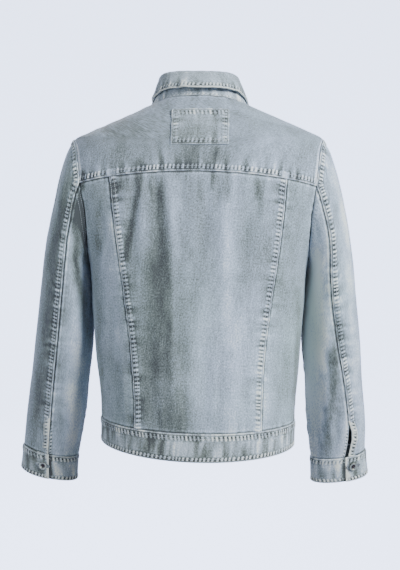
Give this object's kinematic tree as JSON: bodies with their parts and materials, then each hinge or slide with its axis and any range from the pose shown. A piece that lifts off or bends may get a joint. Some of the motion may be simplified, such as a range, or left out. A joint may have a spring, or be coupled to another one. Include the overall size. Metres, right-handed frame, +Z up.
{
  "type": "denim_jacket",
  "caption": "Waist-length denim jacket with long sleeves, a shirt collar, a yoke, a button front, a waistband and buttoned cuffs, filled out as if worn",
  "frame": {"origin": "midway between the two points where the shoulder seams meet the neckline, where the wearer's shoulders carry the jacket", "axes": "+X to the wearer's left, +Y towards the wearer's back, +Z up"},
  "size_m": [0.6703, 0.2848, 0.7597],
  "materials": {
    "denim_back": "washed cotton twill",
    "denim_yoke": "washed cotton twill",
    "denim_side": "washed cotton twill",
    "denim_front": "washed cotton twill",
    "denim_sleeve": "washed cotton twill",
    "denim_strip": "washed cotton twill, folded double",
    "denim_binding": "washed cotton twill, worn pale",
    "button_metal": "darkened"
  },
  "bodies": {
    "root": {"back_yoke": "denim_yoke", "yoke_patch": "denim_strip", "back_centre": "denim_back", "back_side_left": "denim_side", "back_side_right": "denim_side", "front_left": "denim_front", "front_right": "denim_front", "button_band_left": "denim_strip", "button_band_right": "denim_strip", "waistband": "denim_strip", "collar_stand": "denim_strip", "collar_fall": "denim_strip", "sleeve_under_left": "denim_sleeve", "sleeve_under_right": "denim_sleeve", "sleeve_outer_left": "denim_sleeve", "sleeve_outer_right": "denim_sleeve", "sleeve_vent_left": "denim_binding", "sleeve_vent_right": "denim_binding", "cuff_left": "denim_strip", "cuff_right": "denim_strip", "cuff_button_left": "button_metal", "cuff_button_right": "button_metal", "front_button_1": "button_metal", "front_button_2": "button_metal", "front_button_3": "button_metal", "front_button_4": "button_metal", "front_button_5": "button_metal", "front_button_6": "button_metal", "front_button_7": "button_metal"}
  },
  "joints": []
}
